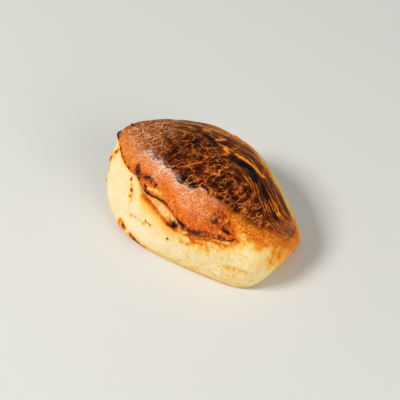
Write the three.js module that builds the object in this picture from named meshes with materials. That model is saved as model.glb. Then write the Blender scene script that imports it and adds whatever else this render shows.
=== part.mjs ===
import * as THREE from 'three';

// A cheese pogaca: one shuttle-shaped bun, a crackled egg-washed crust over pale torn sides.
// Millimetres, +Z up. X runs along the bun, the open seam faces -Y, the foot lies on Z = 0.
// A place on the bun is [longitude, latitude] in degrees. Longitude 0 is the right end, 90 the
// back, 180 the left end and 270 the front. Latitude climbs from the foot to the crown.

// The dough before its sides are pressed, measured from the waist.
const REACH = { right: 64.2, left: 55.7 };
const WIDTH = { back: 39.2, front: 50.4 };
const CROWN = 22.5;
const KEEL = 39.4;
const WAIST_HEIGHT = 21.3;
const WAIST_FALL = 10.1;

// How the bun narrows and lowers to its ends: a higher power keeps it full for longer.
const NARROWING = {
  back: { right: 2.55, left: 2.12 },
  front: { right: 4.5, left: 2.03 },
};
const LOWERING = { power: 2.4, right: 0.58, left: 0.23 };
const ROUNDNESS = { above: 2.2, below: 2.4 };

// Flat sides: where a neighbour, the tray or the dough's own fold pressed them. Each is a plane
// that faces a direction at a distance from the middle, with a soft rounded edge.
const PRESSED = [
  { azimuth: 244.7, tilt: 35.5, distance: 41.1, softness: 9 },
  { azimuth: 270, tilt: 3.9, distance: 39.4, softness: 16 },
  { azimuth: -14.6, tilt: -12.2, distance: 56.2, softness: 14 },
  { azimuth: 45, tilt: 16.5, distance: 45.7, softness: 13 },
  { azimuth: 136.3, tilt: 4.1, distance: 40.7, softness: 13 },
];
const FOOT_SOFTNESS = 7;

// The seam round the bun, from the left end past the front: the latitude of the crust's edge,
// how far the seam gapes below it in degrees, its depth, and how far the crust's lip stands out.
const SEAM = [
  { at: 180, edge: 11, gape: 2.4, depth: 0.8, lip: 0.4 },
  { at: 186, edge: 15.2, gape: 2.6, depth: 1.1, lip: 0.6 },
  { at: 194, edge: 18.4, gape: 2.6, depth: 1.1, lip: 0.6 },
  { at: 204, edge: 20.8, gape: 2.5, depth: 1.1, lip: 0.8 },
  { at: 215, edge: 24.6, gape: 2.5, depth: 1.1, lip: 0.9 },
  { at: 224, edge: 28.8, gape: 3.2, depth: 0.9, lip: 0.7 },
  { at: 233, edge: 30.4, gape: 4.4, depth: 1.6, lip: 0.9 },
  { at: 239, edge: 36.4, gape: 10.3, depth: 2.5, lip: 1.2 },
  { at: 246, edge: 41.2, gape: 13.8, depth: 2.9, lip: 1.3 },
  { at: 253, edge: 43.2, gape: 16.3, depth: 3.0, lip: 1.4 },
  { at: 259, edge: 42.8, gape: 18.2, depth: 2.9, lip: 1.3 },
  { at: 263.5, edge: 39.2, gape: 17, depth: 2.6, lip: 1.2 },
  { at: 267.5, edge: 35.3, gape: 14.2, depth: 2.2, lip: 1.0 },
  { at: 272.5, edge: 30.7, gape: 8.2, depth: 1.8, lip: 0.9 },
  { at: 280.5, edge: 29.5, gape: 4.8, depth: 1.4, lip: 0.9 },
  { at: 292, edge: 33.4, gape: 4.2, depth: 1.3, lip: 0.9 },
  { at: 305, edge: 36.2, gape: 3.5, depth: 1.2, lip: 0.8 },
  { at: 322, edge: 40.5, gape: 2.4, depth: 0.3, lip: 0.2 },
  { at: 335, edge: 34.5, gape: 2.4, depth: 0.15, lip: 0.1 },
  { at: 348, edge: 26.8, gape: 2.4, depth: 0.15, lip: 0.1 },
  { at: 362, edge: 24.5, gape: 2.4, depth: 0.2, lip: 0.15 },
  { at: 376, edge: 28.5, gape: 2.4, depth: 0.3, lip: 0.25 },
  { at: 388, edge: 36, gape: 2.4, depth: 0.45, lip: 0.3 },
  { at: 402, edge: 38.5, gape: 2.4, depth: 0.5, lip: 0.3 },
  { at: 455, edge: 32, gape: 2.4, depth: 0.6, lip: 0.3 },
  { at: 508, edge: 19, gape: 2.4, depth: 0.7, lip: 0.4 },
];
const SEAM_WAVER = 0.6;
const LIP_REACH = 3.2;
const LIP_OVERHANG = 0.7;
const LOWER_LIP = 0.5;
const LOWER_LIP_REACH = 1.6;

// Rises and hollows laid on the dough along a path: how far they reach and how high they stand.
const STROKES = {
  crustSwellingOverSeam: { path: [[216, 50], [240, 58], [267, 55]], reach: 14, height: 2.0 },
  hollowUnderLeftTip: { path: [[187, 5], [184, -4]], reach: 6, height: -0.9 },
  hollowOfPressedCheek: { path: [[204, -4], [216, 8]], reach: 11, height: -0.8 },
  shoulderBesideCheek: { path: [[232, 10.5], [244, 12]], reach: 7, height: 0.9 },
  hollowOfTornPanel: { path: [[287, 16], [305, 16]], reach: 9, height: -0.6 },
  brownedCheekRidge: { path: [[196.5, 13], [193.5, 5], [191, -1]], reach: 2.0, height: 0.6 },
  cheekRimBead: { path: [[199, -9.5]], reach: 1.8, height: 0.9 },
  cheekBorderCrease: {
    path: [[219, 22], [226, 19], [229, 11], [231, 1], [234.5, -7]], reach: 1.8, height: -1.0,
  },
  cheekFootFold: { path: [[238, -3.8], [242, -1.2], [246.5, -1.5]], reach: 1.7, height: -0.9 },
  burntKnobOnLeftTip: { path: [[180, 11]], reach: 2.0, height: 0.9 },
  burntFootEdgeLeft: { path: [[227.5, -19.5], [236.5, -22]], reach: 2.0, height: 0.7 },
  burntFootEdgeMiddle: { path: [[241, -23.5], [249, -27]], reach: 1.8, height: 0.6 },
  holeAtSplitEnd: { path: [[266, 26]], reach: 2.2, height: -1.5 },
  tearInCrust: { path: [[308, 45.2], [315.5, 42]], reach: 1.8, height: -1.2 },
  flakeUnderSplit: { path: [[271.8, 25], [276, 23.8]], reach: 1.5, height: 0.9 },
  flakeInMiddle: { path: [[286, 30.7], [290.3, 29.5], [299, 31.3]], reach: 1.5, height: 0.8 },
  flakeOnRight: { path: [[300.7, 34], [311, 33]], reach: 1.6, height: 1.0 },
  pitInTornPanel: { path: [[294, 17.7]], reach: 1.8, height: -0.9 },
  beadBesidePit: { path: [[297.5, 23]], reach: 1.8, height: 0.7 },
  wrinkleLowOnPanel: { path: [[303.3, 0.3], [315, 2]], reach: 1.6, height: -0.7 },
};

// Slow unevenness of hand-shaped dough: its height, and its waves' length along X, Y and Z.
const UNEVEN_HEIGHT = 0.22;
const UNEVEN_WAVES = [27, 19, 16];

// The mesh: a square grid wraps the crown, rings of columns run down the sides to the foot.
const CROWN_SQUARES = 34;
const COLUMNS = 4 * CROWN_SQUARES;
const COLUMN_GATHER = { at: 255, share: 0.28 };
const RINGS_ABOVE_SEAM = [12, 7.5, 4, 1.8, 0];
const RINGS_IN_SEAM = [0.14, 0.4, 0.7, 0.9];
const RINGS_BELOW_SEAM = [0, 0.025, 0.07, 0.14, 0.22, 0.31, 0.41, 0.52, 0.64, 0.76, 0.88, 1];
const SIDE_FOOT_LATITUDE = -47;
const FOOT_RINGS = [-58, -72];

const { degToRad, euclideanModulo } = THREE.MathUtils;

function direction(longitude, latitude) {
  const turn = degToRad(longitude);
  const climb = degToRad(latitude);
  return new THREE.Vector3(
    Math.cos(climb) * Math.cos(turn), Math.cos(climb) * Math.sin(turn), Math.sin(climb));
}

function softLimit(value, limit, softness) {
  const nearness = Math.max(softness - Math.abs(value - limit), 0) / softness;
  return Math.min(value, limit) - (nearness * nearness * softness) / 4;
}

function signedPower(value, power) {
  return Math.sign(value) * Math.abs(value) ** power;
}

// The smooth dough in the direction of a unit vector: a superellipse across the bun at every
// step along X, narrowed and lowered towards both ends, then pressed flat where it was touched.
function doughPoint(aim) {
  const end = aim.x > 0 ? 'right' : 'left';
  const side = aim.y > 0 ? 'back' : 'front';
  const spread = Math.sqrt(Math.max(1 - aim.x ** 2, 1e-12));
  const roundness = aim.z > 0 ? ROUNDNESS.above : ROUNDNESS.below;
  const across = signedPower(aim.y / spread, 2 / roundness);
  const upward = signedPower(aim.z / spread, 2 / roundness);
  const narrowed = Math.sqrt(Math.max(1 - Math.abs(aim.x) ** NARROWING[side][end], 0));
  const lowered = Math.max(1 - Math.abs(aim.x) ** LOWERING.power, 0) ** LOWERING[end];
  const height = aim.z > 0 ? CROWN : KEEL;
  const point = new THREE.Vector3(
    REACH[end] * aim.x,
    WIDTH[side] * across * narrowed,
    WAIST_HEIGHT - WAIST_FALL * aim.x + height * upward * lowered);
  for (const { azimuth, tilt, distance, softness } of PRESSED) {
    const outward = direction(azimuth, tilt);
    const reach = point.dot(outward);
    point.addScaledVector(outward, softLimit(reach, distance, softness) - reach);
  }
  point.z = -softLimit(-point.z, 0, FOOT_SOFTNESS);
  return point;
}

// The smooth dough at a place, with its outward direction, the way down its side, and how many
// millimetres a degree of latitude spans there.
function doughFrame(longitude, latitude) {
  const step = 1e-3;
  const aim = direction(longitude, latitude);
  const east = direction(longitude + 90, 0);
  const north = direction(longitude, latitude + 90);
  const slope = (way) => {
    const ahead = doughPoint(aim.clone().addScaledVector(way, step).normalize());
    return ahead.sub(doughPoint(aim.clone().addScaledVector(way, -step).normalize()));
  };
  const up = slope(north);
  return {
    point: doughPoint(aim),
    outward: slope(east).cross(up).normalize(),
    down: up.clone().normalize().negate(),
    perDegree: (up.length() * degToRad(1)) / (2 * step),
  };
}

// One of the seam's values at a longitude, by a smooth closed curve through its points.
function alongSeam(key, longitude) {
  const turned = SEAM[0].at + euclideanModulo(longitude - SEAM[0].at, 360);
  const place = (i) => SEAM[euclideanModulo(i, SEAM.length)].at + 360 * Math.floor(i / SEAM.length);
  const value = (i) => SEAM[euclideanModulo(i, SEAM.length)][key];
  const tangent = (i) => (value(i + 1) - value(i - 1)) / (place(i + 1) - place(i - 1));
  let i = 0;
  while (place(i + 1) <= turned) i += 1;
  const gap = place(i + 1) - place(i);
  const t = (turned - place(i)) / gap;
  const rest = 1 - t;
  return value(i) * (1 + 2 * t) * rest * rest + value(i + 1) * (3 - 2 * t) * t * t
    + gap * (tangent(i) * t * rest * rest - tangent(i + 1) * t * t * rest);
}

function seamEdge(longitude) {
  const turn = degToRad(longitude);
  return alongSeam('edge', longitude) + SEAM_WAVER * Math.sin(11 * turn) * Math.cos(4 * turn);
}

// How far the seam lifts or sinks the dough, and how far its lip hangs over, in millimetres.
function seamRelief(longitude, latitude, perDegree) {
  const edge = seamEdge(longitude);
  const gape = alongSeam('gape', longitude);
  const depth = alongSeam('depth', longitude);
  const lip = alongSeam('lip', longitude);
  const above = (latitude - edge) * perDegree;
  const below = (edge - gape - latitude) * perDegree;
  if (above >= 0) {
    return {
      lift: lip * Math.exp(-((above / LIP_REACH) ** 2)),
      hang: LIP_OVERHANG * lip * Math.exp(-above),
    };
  }
  if (below >= 0) {
    return { lift: LOWER_LIP * lip * Math.exp(-((below / LOWER_LIP_REACH) ** 2)), hang: 0 };
  }
  const across = (edge - latitude) / gape;
  return { lift: -depth * Math.sqrt(4 * across * (1 - across)), hang: 0 };
}

function distanceToPath(point, corners) {
  if (corners.length === 1) return point.distanceTo(corners[0]);
  const nearest = new THREE.Vector3();
  let distance = Infinity;
  for (let i = 1; i < corners.length; i += 1) {
    new THREE.Line3(corners[i - 1], corners[i]).closestPointToPoint(point, true, nearest);
    distance = Math.min(distance, nearest.distanceTo(point));
  }
  return distance;
}

const strokesOnDough = Object.values(STROKES).map(({ path, reach, height }) => ({
  corners: path.map(([longitude, latitude]) => doughPoint(direction(longitude, latitude))),
  reach,
  height,
}));

function strokeLift(point) {
  return strokesOnDough.reduce((lift, { corners, reach, height }) => (
    lift + height * Math.exp(-((distanceToPath(point, corners) / reach) ** 2))), 0);
}

function unevenLift(point) {
  const [x, y, z] = UNEVEN_WAVES.map((wave, i) => (2 * Math.PI * point.getComponent(i)) / wave);
  return UNEVEN_HEIGHT * Math.sin(x + Math.sin(z)) * Math.sin(y + Math.sin(x));
}

// The finished surface at a place. The foot stays exactly flat, so relief fades out above it.
function bunPoint(longitude, latitude) {
  const { point, outward, down, perDegree } = doughFrame(longitude, latitude);
  const offFoot = THREE.MathUtils.smoothstep(point.z, 0, FOOT_SOFTNESS);
  const { lift, hang } = seamRelief(longitude, latitude, perDegree);
  const height = lift + strokeLift(point) + unevenLift(point);
  return point.addScaledVector(outward, height * offFoot).addScaledVector(down, hang * offFoot);
}

// Columns stand closer together at the front, where the seam opens.
function columnLongitude(turn) {
  const gathered = degToRad(turn - COLUMN_GATHER.at);
  return turn - THREE.MathUtils.radToDeg(COLUMN_GATHER.share * Math.sin(gathered));
}

// A square's point turned onto a disc: how far out it lies, 0 to 1, and its turn in degrees.
function squareToDisc(across, along) {
  if (across === 0 && along === 0) return { out: 0, turn: 0 };
  if (Math.abs(across) > Math.abs(along)) {
    return { out: Math.abs(across), turn: 45 * (along / across) + (across < 0 ? 180 : 0) };
  }
  return { out: Math.abs(along), turn: 90 - 45 * (across / along) + (along < 0 ? 180 : 0) };
}

// Covers the crown with the square grid and returns the ring of points that it ends in. Each
// square is split along the diagonal that points to the middle.
function addCrown(addPoint, addQuad) {
  const crown = [];
  const rim = new Array(COLUMNS);
  for (let row = 0; row <= CROWN_SQUARES; row += 1) {
    crown.push([]);
    for (let column = 0; column <= CROWN_SQUARES; column += 1) {
      const across = (2 * column) / CROWN_SQUARES - 1;
      const along = (2 * row) / CROWN_SQUARES - 1;
      const { out, turn } = squareToDisc(across, along);
      const longitude = columnLongitude(turn);
      const rimLatitude = seamEdge(longitude) + RINGS_ABOVE_SEAM[0];
      const point = addPoint(longitude, 90 - (90 - rimLatitude) * out);
      crown[row].push(point);
      if (out === 1) rim[Math.round(euclideanModulo((turn * COLUMNS) / 360, COLUMNS))] = point;
    }
  }
  const middle = (CROWN_SQUARES - 1) / 2;
  for (let row = 0; row < CROWN_SQUARES; row += 1) {
    for (let column = 0; column < CROWN_SQUARES; column += 1) {
      const square = [
        crown[row][column], crown[row][column + 1], crown[row + 1][column + 1], crown[row + 1][column]];
      if ((row - middle) * (column - middle) < 0) square.push(square.shift());
      addQuad(...square);
    }
  }
  return rim;
}

// The latitudes of the rings below the crown at a longitude: they follow the seam.
function ringLatitudes(longitude) {
  const edge = seamEdge(longitude);
  const gape = alongSeam('gape', longitude);
  return [
    ...RINGS_ABOVE_SEAM.slice(1).map((above) => edge + above),
    ...RINGS_IN_SEAM.map((across) => edge - gape * across),
    ...RINGS_BELOW_SEAM.map((fall) => THREE.MathUtils.lerp(edge - gape, SIDE_FOOT_LATITUDE, fall)),
    ...FOOT_RINGS,
  ];
}

function buildBun() {
  const vertices = [];
  const faces = [];
  const addPoint = (longitude, latitude) => vertices.push(bunPoint(longitude, latitude)) - 1;
  const addQuad = (a, b, c, d) => faces.push(a, b, c, a, c, d);

  const columns = addCrown(addPoint, addQuad).map((rimPoint, column) => {
    const longitude = columnLongitude((360 * column) / COLUMNS);
    return [rimPoint, ...ringLatitudes(longitude).map((latitude) => addPoint(longitude, latitude))];
  });
  const footMiddle = addPoint(0, -90);
  columns.forEach((column, i) => {
    const next = columns[(i + 1) % COLUMNS];
    for (let ring = 1; ring < column.length; ring += 1) {
      addQuad(column[ring - 1], column[ring], next[ring], next[ring - 1]);
    }
    faces.push(column.at(-1), footMiddle, next.at(-1));
  });

  const geometry = new THREE.BufferGeometry().setFromPoints(vertices);
  geometry.setIndex(faces);
  geometry.computeBoundingBox();
  const middle = geometry.boundingBox.getCenter(new THREE.Vector3());
  geometry.translate(-middle.x, -middle.y, 0);
  geometry.computeVertexNormals();
  return geometry;
}

const crustMaterial = new THREE.MeshStandardMaterial({ color: 0xb4652c, roughness: 0.55, metalness: 0 });
const bun = new THREE.Mesh(buildBun(), crustMaterial);
bun.name = 'bun';

const group = new THREE.Group();
group.add(bun);

export default group;
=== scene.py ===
"""A cheese pogaca: one shuttle-shaped bun, a cracked egg-washed crust over pale torn sides.

The bun is one closed surface. A place on it is a longitude and a latitude in degrees: longitude 0
is the right end, 90 the back, 180 the left end and 270 the front, and latitude climbs from the
foot to the crown. Its sizes are millimetres here and become metres when the mesh is made; the
floor, camera and lamps are in metres.
"""

import itertools
import math

import bpy
import numpy as np
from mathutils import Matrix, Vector


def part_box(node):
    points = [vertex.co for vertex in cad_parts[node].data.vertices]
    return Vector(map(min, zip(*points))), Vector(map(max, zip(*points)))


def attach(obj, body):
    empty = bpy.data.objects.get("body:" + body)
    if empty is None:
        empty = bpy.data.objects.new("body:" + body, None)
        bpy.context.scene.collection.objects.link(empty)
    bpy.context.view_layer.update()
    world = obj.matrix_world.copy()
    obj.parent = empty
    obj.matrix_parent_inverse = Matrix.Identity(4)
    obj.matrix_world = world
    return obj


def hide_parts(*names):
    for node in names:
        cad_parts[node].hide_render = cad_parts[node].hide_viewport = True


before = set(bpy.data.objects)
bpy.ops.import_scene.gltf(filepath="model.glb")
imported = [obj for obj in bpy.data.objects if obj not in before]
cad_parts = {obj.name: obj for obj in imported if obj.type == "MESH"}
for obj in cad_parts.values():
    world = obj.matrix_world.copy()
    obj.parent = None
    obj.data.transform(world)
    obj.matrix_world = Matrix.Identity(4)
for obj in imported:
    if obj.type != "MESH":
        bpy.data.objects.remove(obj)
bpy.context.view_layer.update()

MM = 0.001

# The dough before its sides are pressed, measured from the waist
REACH_RIGHT, REACH_LEFT = 64.2, 55.7
WIDTH_BACK, WIDTH_FRONT = 39.2, 50.4
CROWN, KEEL = 22.5, 39.4
WAIST_HEIGHT, WAIST_FALL = 21.3, 10.1

# How the bun narrows and lowers to its ends
NARROWING_BACK_RIGHT, NARROWING_BACK_LEFT = 2.55, 2.12
NARROWING_FRONT_RIGHT, NARROWING_FRONT_LEFT = 4.5, 2.03
LOWERING_POWER, LOWERING_RIGHT, LOWERING_LEFT = 2.4, 0.58, 0.23
ROUNDNESS_ABOVE, ROUNDNESS_BELOW = 2.2, 2.4

# Flat sides: the azimuth and tilt that each faces, its distance and the softness of its edge
PRESSED = [
    (244.7, 35.5, 41.1, 9),
    (270, 3.9, 39.4, 16),
    (-14.6, -12.2, 56.2, 14),
    (45, 16.5, 45.7, 13),
    (136.3, 4.1, 40.7, 13),
]
FOOT_SOFTNESS = 7

# The seam from the left end past the front: longitude, latitude of the crust's edge, how far it
# gapes below in degrees, its depth, and how far the crust's lip stands out
SEAM = np.array([
    (180, 11, 2.4, 0.8, 0.4),
    (186, 15.2, 2.6, 1.1, 0.6),
    (194, 18.4, 2.6, 1.1, 0.6),
    (204, 20.8, 2.5, 1.1, 0.8),
    (215, 26.2, 2.4, 0.9, 0.8),
    (224, 31.8, 2.6, 0.4, 0.4),
    (233, 33.2, 5.0, 1.3, 0.8),
    (239, 37.0, 9.2, 2.4, 1.2),
    (246, 41.8, 13.0, 2.9, 1.3),
    (253, 45.4, 18.1, 3.0, 1.4),
    (259, 45.9, 21.2, 2.9, 1.3),
    (263.5, 44.0, 21.4, 2.6, 1.2),
    (267.5, 40.6, 19.0, 2.2, 1.0),
    (272.5, 34.2, 11.4, 1.8, 0.9),
    (280.5, 29.5, 4.8, 1.4, 0.9),
    (292, 33.4, 4.2, 1.3, 0.9),
    (305, 36.2, 3.5, 1.2, 0.8),
    (322, 40.5, 2.4, 0.3, 0.2),
    (335, 34.5, 2.4, 0.15, 0.1),
    (348, 26.8, 2.4, 0.15, 0.1),
    (362, 24.5, 2.4, 0.2, 0.15),
    (376, 28.5, 2.4, 0.3, 0.25),
    (388, 36, 2.4, 0.45, 0.3),
    (402, 38.5, 2.4, 0.5, 0.3),
    (455, 32, 2.4, 0.6, 0.3),
    (508, 19, 2.4, 0.7, 0.4),
])
SEAM_PLACES, SEAM_EDGE, SEAM_GAPE, SEAM_DEPTH, SEAM_LIP = SEAM.T
# The edge wavers slowly and is ragged by noise on a coarse and a fine circle: both in degrees,
# then the circles' radii
SEAM_WAVER, SEAM_RAG = 0.6, 0.55
RAG_CIRCLE, FINE_RAG_CIRCLE = 22, 55
# The lips' reach over and under the seam and the upper one's overhang in millimetres, and the
# lower lip's height as a share of the upper one's
LIP_REACH, LIP_OVERHANG = 3.2, 0.7
LOWER_LIP, LOWER_LIP_REACH = 0.5, 1.6

# Rises and hollows laid on the dough along a path of longitudes and latitudes: the path, its
# reach to each side and its height
STROKES = {
    "crust swelling over the seam": ([(216, 50), (240, 58), (267, 55)], 14, 2.0),
    "hollow under the left tip": ([(187, 5), (184, -4)], 6, -0.9),
    "hollow of the pressed cheek": ([(204, -4), (216, 8)], 11, -0.8),
    "shoulder beside the cheek": ([(232, 10.5), (244, 12)], 7, 0.9),
    "hollow of the torn panel": ([(287, 16), (305, 16)], 9, -0.6),
    "browned cheek ridge": ([(196.5, 13), (193.5, 5), (191, -1)], 1.6, 0.6),
    "cheek rim bead": ([(199, -9.5)], 1.5, 0.9),
    "cheek border crease": ([(219, 22), (226, 19), (229, 11), (231, 1), (234.5, -7)], 1.3, -0.9),
    "cheek foot fold": ([(238, -3.8), (242, -1.2), (246.5, -1.5)], 1.2, -0.8),
    "burnt knob on the left tip": ([(180, 11)], 1.8, 1.0),
    "burnt foot edge, left": ([(227.5, -19.5), (236.5, -22)], 1.6, 0.7),
    "burnt foot edge, middle": ([(241, -23.5), (249, -27)], 1.4, 0.6),
    "hole at the split end": ([(266, 26)], 1.9, -1.6),
    "tear in the crust": ([(308, 45.2), (315.5, 42)], 1.2, -1.2),
    "flake under the split": ([(271.8, 25), (276, 23.8)], 1.0, 0.9),
    "flake in the middle": ([(286, 30.7), (290.3, 29.5), (299, 31.3)], 1.0, 0.8),
    "flake on the right": ([(300.7, 34), (311, 33)], 1.2, 1.0),
    "pit in the torn panel": ([(294, 17.7)], 1.4, -0.9),
    "bead beside the pit": ([(297.5, 23)], 1.5, 0.7),
    "wrinkle low on the panel": ([(303.3, 0.3), (315, 2)], 1.1, -0.7),
}

# Thin flakes that stand off the crust
FLAKES = {
    "orange flake on the back": ([(85.5, 41.2), (83, 40.8)], 0.7, 1.3),
    "burnt fleck on the crown": ([(144.7, 49.4)], 0.7, 0.8),
    "burnt fleck over the left tip": ([(175.6, 33.6)], 0.8, 1.5),
    "flake behind the tear": ([(318, 43.4), (323, 44.6)], 0.6, 0.5),
}

# Slow unevenness of hand-shaped dough: its height, and its waves' length along X, Y and Z
UNEVEN_HEIGHT = 0.22
UNEVEN_WAVES = (27, 19, 16)

# The dark glaze covers the crown behind this line in plan, which runs from the left end
GLAZE_LINE = np.array([
    (-50, -1), (-40, -5), (-33, -7.5), (-22.8, -9.4), (-14.8, -13), (-9, -15.2), (-2.1, -18.6),
    (4, -19.8), (8.5, -17.9), (15.6, -18.2), (22, -19.2), (29.9, -20.2), (37.7, -20.3),
    (43, -19), (48, -15.5), (56, -9), (64, -4),
])

# Places that the oven burnt: path, reach in millimetres and strength
CHARRED = {
    "left tip": ([(178, 12), (183, 12)], 1.5, 1.0),
    "line from the tip": ([(181, 11), (178.6, 14)], 0.6, 0.8),
    "fleck over the tip": ([(175.6, 33.6)], 0.7, 1.0),
    "fleck on the crown": ([(144.7, 49.4)], 0.6, 1.0),
    "blotch under the glaze, left": ([(217, 36.5), (220.3, 35.4), (223.4, 34.6)], 1.5, 0.8),
    "its streak": ([(215.2, 40.6), (219.8, 38.5)], 1.0, 0.45),
    "blotch under the glaze, right": ([(227, 44), (229.5, 46), (232.4, 48)], 1.9, 0.75),
    "spot over the split": ([(238.8, 47.6), (239, 49.3)], 0.8, 0.85),
    "spot left of the split": ([(232.4, 36.8), (234, 37.8)], 0.7, 0.6),
    "left corner of the split": ([(236.2, 32.5), (238.8, 35)], 1.1, 0.75),
    "line of the upper lip": (
        [(234.5, 34.2), (240.7, 38.6), (244.8, 41.4), (248.9, 43.9), (252.5, 45.8), (256.2, 46.5),
         (259, 46.3)], 0.6, 0.5),
    "blotch at the split's end": ([(270.5, 37.8), (272.2, 35.7), (274.8, 34)], 0.8, 0.7),
    "hole at the split end": ([(262, 25.8), (266.4, 24.2)], 1.1, 1.3),
    "specks beside the hole": ([(268.6, 31.5), (271, 30.5)], 0.7, 0.9),
    "dark patch in the band": ([(281, 31.8), (287, 33.4)], 0.7, 0.25),
    "tear": ([(308, 45), (311, 43.4)], 0.85, 1.0),
    "tear's tail": ([(311, 43.4), (316.5, 41.2)], 0.5, 0.5),
    "spot right of the tear": ([(325, 44), (327, 43.5)], 0.7, 0.28),
    "speck on the side": ([(264.8, 0.5)], 0.8, 0.85),
    "foot edge, knob": ([(240.6, -20.8), (242.3, -21.4)], 0.8, 1.0),
    "foot edge, line": ([(243, -22.5), (246.3, -26)], 0.6, 0.9),
    "foot edge, thin line": ([(246.3, -26), (252, -26.5)], 0.5, 0.5),
}
# Places that it browned further than the rest
BROWNED = {
    "cheek ridge": ([(196.5, 13.5), (194.1, 3.8), (193.6, -0.6)], 0.8, 0.6),
    "glow round the cheek ridge": ([(196.5, 13), (191, -1), (198, -9)], 3.2, 0.1),
    "cheek rim": ([(193.6, -0.6), (195, -3.3), (197.9, -6.1), (199.7, -8.8)], 0.6, 0.45),
    "crust edge, left": ([(195.2, 18.8), (205, 20.2), (211, 23.2), (216, 25.2)], 0.6, 0.35),
    "dot under the edge": ([(213.4, 26.2), (214.4, 25.4)], 0.7, 0.5),
    "dots down the border": ([(219.6, 21.4), (220.4, 20)], 0.5, 0.6),
    "dots lower down": ([(223, 18.4), (223.4, 17.4)], 0.5, 0.6),
    "dots lower still": ([(225, 16.2), (226.2, 14.6)], 0.6, 0.65),
    "dot at the fold's height": ([(227.4, 9.6), (227.6, 8.2)], 0.5, 0.5),
    "red root of the crust": ([(249.5, 43.6), (256.6, 43.6), (262, 42), (266, 38)], 0.9, 0.14),
    "red end of the band": ([(303, 37.4), (310, 37.4), (318, 38.6)], 1.3, 0.14),
    "orange mark": ([(274, 9), (279, 8.5)], 1.3, 0.22),
    "golden stain": ([(280, 13), (290, 13.5)], 2.6, 0.2),
    "gold under the torn band": ([(280, 21), (292, 25), (302, 27)], 2.6, 0.22),
    "gold under the tear": ([(312, 34), (320, 37), (328, 36)], 3.0, 0.14),
    "marks on the side": ([(246.5, 5.5), (247.5, 3.5)], 0.5, 0.7),
    "second mark on the side": ([(248.6, 5.6), (250.2, 3.6), (250.8, 5.4)], 0.5, 0.6),
    "panel wrinkles": ([(300, -0.4), (306, 0.3), (309, 1.2), (316, 2.2)], 0.6, 0.24),
    "cheek border": ([(225.2, 20), (228, 14), (230.5, 5)], 0.7, 0.16),
    "cheek fold": ([(235, -3), (239.9, -0.4), (242.5, 0.3), (245.1, 0.4), (248, -1)], 0.6, 0.36),
    "scorched foot, left": ([(228.5, -15.5), (231, -16.5), (234, -18.5)], 1.3, 0.5),
    "scorch down to the foot": ([(229, -22), (231, -29), (236, -37)], 3.0, 0.34),
    "scorch at the foot, middle": ([(242, -28), (250, -36)], 3.0, 0.34),
    "scorch at the foot, left": ([(205, -40), (222, -36)], 3.2, 0.25),
    "scorched foot, knob": ([(239.5, -19.5), (242, -20.5)], 1.1, 0.4),
    "gold along the foot, middle": ([(256, -25.6), (267.7, -22.9), (277, -22)], 1.5, 0.1),
    "brown along the foot, right": ([(280, -22.6), (288, -24.9)], 1.0, 0.12),
    "patch on the corner": ([(335.5, 9), (339, 8)], 3.2, 0.15),
    "brown under the corner": ([(302, -23.4), (306, -20)], 1.1, 0.16),
    "stain down the border": ([(220.2, 21), (225, 17), (228, 9)], 1.6, 0.18),
    "right of the hole": ([(270.5, 26), (276, 27.5), (281, 28)], 1.0, 0.16),
    "low front of the crust": ([(283, 50), (295, 47.5), (300, 52)], 4.5, 0.07),
    "purple patch": ([(303, 49.5), (310.5, 53.5), (315, 50)], 3.4, 0.27),
    "brown beside the purple patch": ([(300, 60), (306, 62), (314, 59)], 3.2, 0.12),
    "brown under the glaze, right": ([(346, 38), (348.5, 33)], 2.4, 0.2),
    "edge of the crust, right": ([(332, 29), (338, 25), (343, 20)], 2.8, 0.1),
    "stain under the back seam": ([(62, 27), (84, 24), (104, 22)], 3.6, 0.12),
    "stain at the back left": ([(138, 10), (152, 4)], 4.0, 0.12),
    "scorch at the back foot": ([(66, -31), (90, -35), (108, -34)], 2.6, 0.3),
    "scorch at the left foot": ([(150, -34), (166, -38)], 2.8, 0.34),
    "marks on the back": ([(97, 9), (98.5, 6.5)], 0.6, 0.6),
    "mark at the back left": ([(129, -3), (131.5, -4.5)], 0.6, 0.5),
    "dots under the back seam": ([(112, 20.5), (113.5, 18.5)], 0.5, 0.55),
}
# Smooth glows, and with a strength under 0 paler places
TONED = {
    "glow under the split": (
        [(235.7, 26), (239.5, 27.4), (243, 27.3), (248.9, 27.3), (253.3, 26.3), (258.8, 24.2),
         (264, 21.6)], 1.7, 0.18),
    "orange corner of the split": ([(235.5, 26.5), (240, 28)], 2.0, 0.13),
    "wide glow under it": ([(236, 23), (247, 22), (256, 18), (266, 14.5)], 4.2, 0.14),
    "flap over the split": ([(233.4, 38.6), (235, 38.4), (240.7, 44), (248.9, 48.4)], 0.8, -0.24),
    "thin flakes": ([(286.4, 27.4), (291.2, 29.4), (296.8, 30.6)], 0.4, -0.12),
    "flake on the right": ([(300.7, 31.9), (306.5, 33.2), (311.5, 34)], 0.6, -0.16),
    "orange patch beside the tear": ([(319, 50), (325, 46)], 4.5, -0.1),
    "crust at the left tip": ([(186, 22), (196, 30), (206, 36)], 5.5, -0.1),
    "crust beside the corner": ([(330, 36), (338, 33), (343, 29)], 4.0, -0.08),
    "crust at the right tip": ([(354, 26), (2, 22), (10, 24)], 4.0, -0.1),
    "whitish bump": ([(292, 23.5), (297.2, 24)], 1.3, -0.14),
}
# Where the glaze is thin and baked tan
VEILS = {
    "thin glaze at the right tip": ([(350, 37), (353, 31), (354.5, 26)], 4.0, 1.1),
    "edge of the veil": ([(359, 31), (359.5, 24)], 2.4, 0.7),
}
# Gold lines that part the strands at the back
GOLD_LINES = {
    "along the back": ([(128, 53), (117.4, 50.8), (100, 47), (86, 45.4), (76, 45.8)], 0.8, 0.9),
    "over it": ([(112, 52), (98, 50.5), (88, 49)], 0.5, 0.6),
}
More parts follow.
